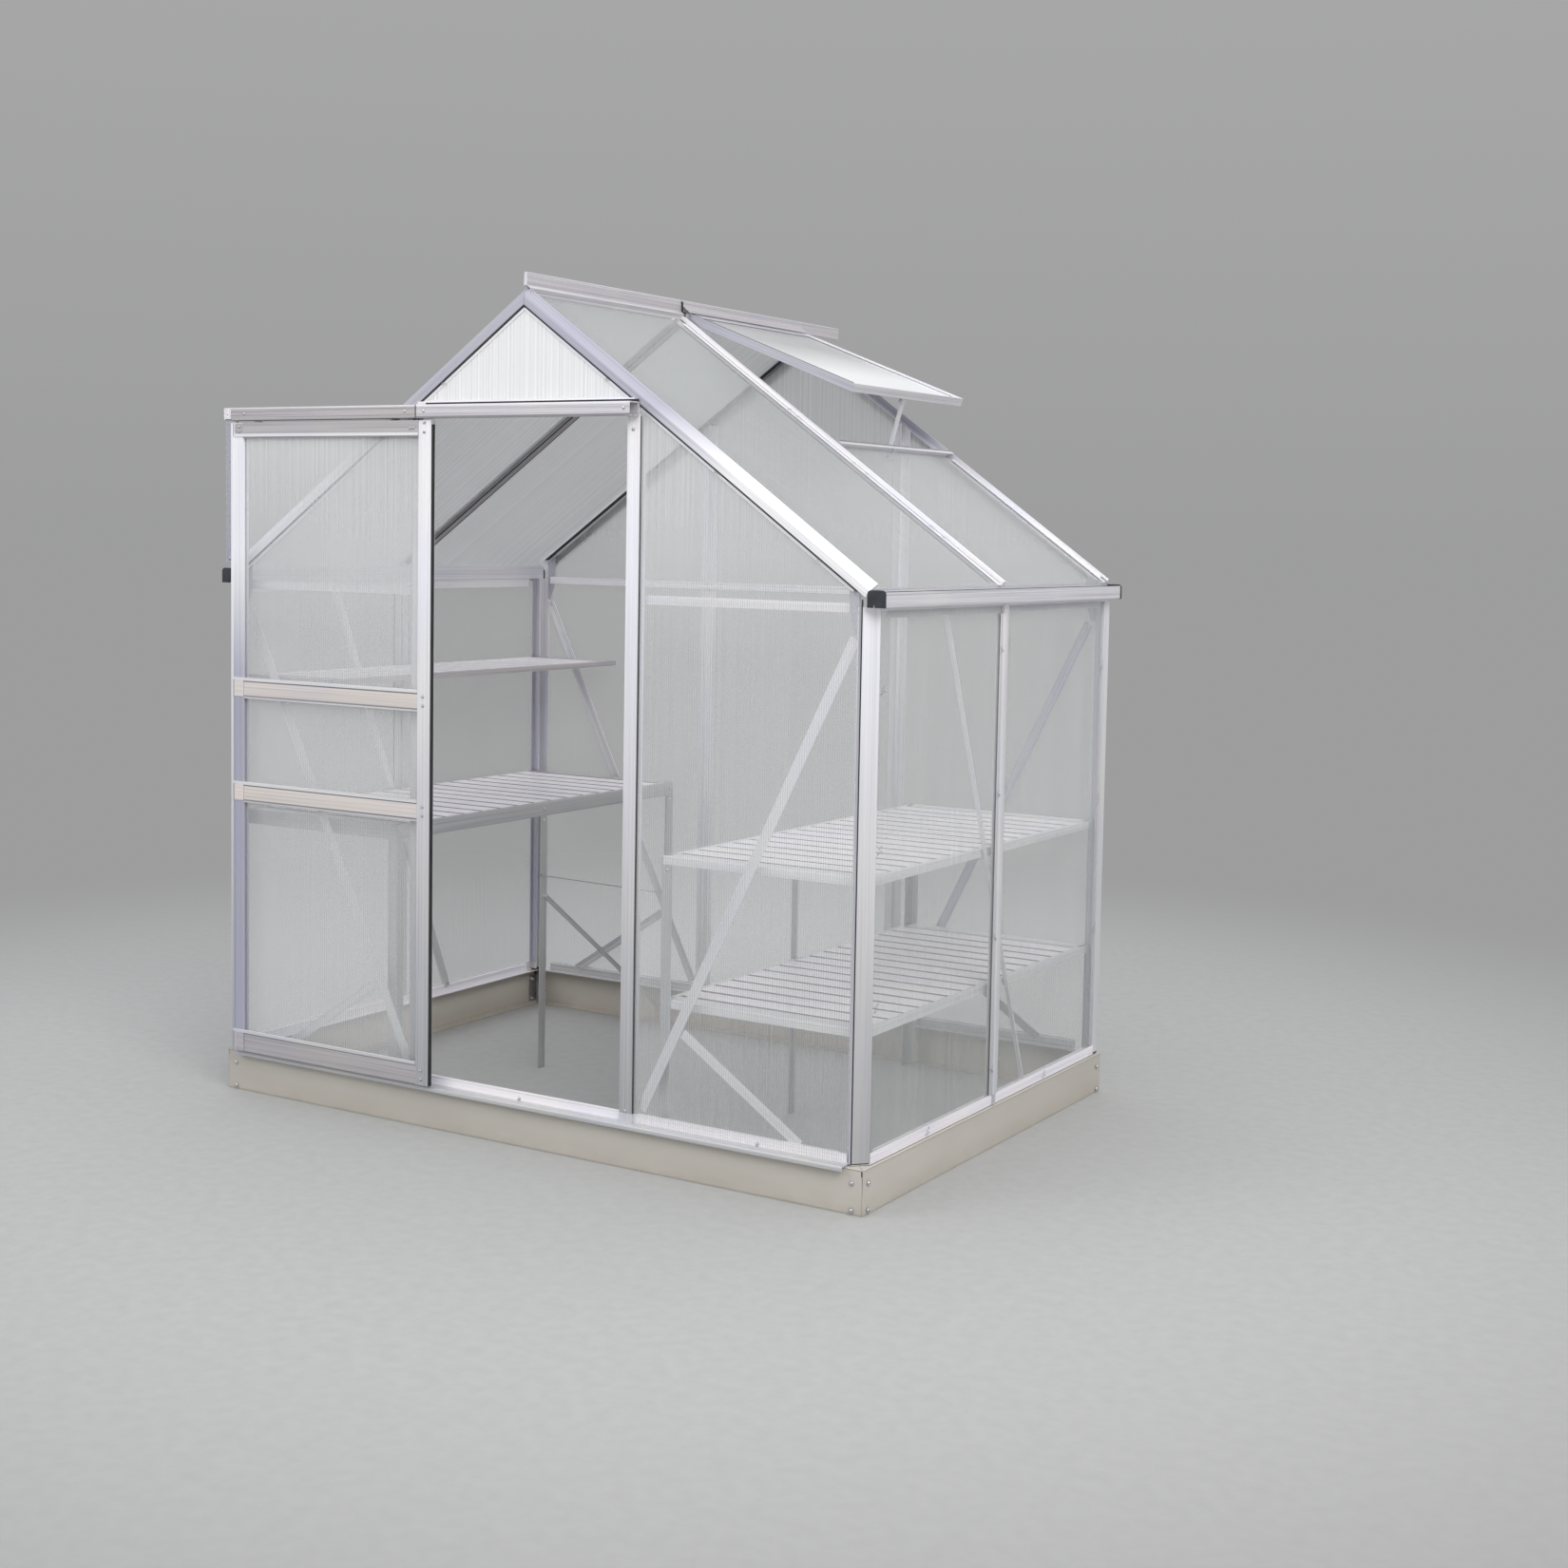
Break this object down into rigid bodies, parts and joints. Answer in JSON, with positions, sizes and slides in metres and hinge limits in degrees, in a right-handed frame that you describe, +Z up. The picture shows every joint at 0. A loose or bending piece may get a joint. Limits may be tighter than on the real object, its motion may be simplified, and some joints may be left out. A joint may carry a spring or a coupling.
{
  "type": "greenhouse",
  "caption": "Small gable greenhouse with an aluminium frame, twin-wall polycarbonate sheets, steel plinth, sliding door, open roof vent and side staging.",
  "frame": {"origin": "middle of the whole building's footprint, gutters, door track and ridge end included, on the ground", "axes": "+X to the right along the front gable as seen from outside, +Y from the front gable to the back, +Z up"},
  "size_m": [1.976, 1.487, 2.0852],
  "materials": {
    "plinth_paint": "satin beige coating on folded steel",
    "mill_aluminium": "mill-finish extrusion, faintly streaked",
    "staging_aluminium": "dull rolled aluminium",
    "twin_wall_sheet": "clear twin-wall polycarbonate with fine flutes",
    "cap_plastic": "moulded, dark grey",
    "roller_plastic": "moulded, black",
    "seal_rubber": "matt black strip"
  },
  "bodies": {
    "shell": {"base_front": "plinth_paint", "base_back": "plinth_paint", "base_sides": "plinth_paint", "sill_front": "mill_aluminium", "sill_back": "mill_aluminium", "side_sills": "mill_aluminium", "corner_posts": "mill_aluminium", "door_jambs": "mill_aluminium", "back_mullions": "mill_aluminium", "side_bars": "mill_aluminium", "gutters": "mill_aluminium", "gable_rafters": "mill_aluminium", "mid_rafters": "mill_aluminium", "ridge": "mill_aluminium", "ridge_skirt": "mill_aluminium", "door_header": "mill_aluminium", "track_extension": "mill_aluminium", "track_stay": "mill_aluminium", "wall_ties": "mill_aluminium", "end_braces": "mill_aluminium", "side_braces": "mill_aluminium", "vent_sill": "mill_aluminium", "vent_frame": "mill_aluminium", "vent_stay": "mill_aluminium", "front_panels": "twin_wall_sheet", "gable_panel": "twin_wall_sheet", "back_panels": "twin_wall_sheet", "left_panels": "twin_wall_sheet", "right_panels": "twin_wall_sheet", "left_roof_panels": "twin_wall_sheet", "right_roof_panel": "twin_wall_sheet", "roof_panel_below_vent": "twin_wall_sheet", "vent_panel": "twin_wall_sheet", "gutter_caps": "cap_plastic", "bench_left_tray": "staging_aluminium", "bench_left_legs": "staging_aluminium", "bench_left_braces": "staging_aluminium", "bench_right_trays": "staging_aluminium", "bench_right_legs": "staging_aluminium", "upper_shelf": "staging_aluminium"},
    "door": {"door_stiles": "mill_aluminium", "door_rails": "mill_aluminium", "door_panels": "twin_wall_sheet", "door_seal": "seal_rubber", "door_rollers": "roller_plastic"}
  },
  "joints": [
    {"name": "door_slide", "type": "slide", "parent": "shell", "child": "door", "axis": [1, 0, 0], "range_m": [0, 0.59]}
  ]
}
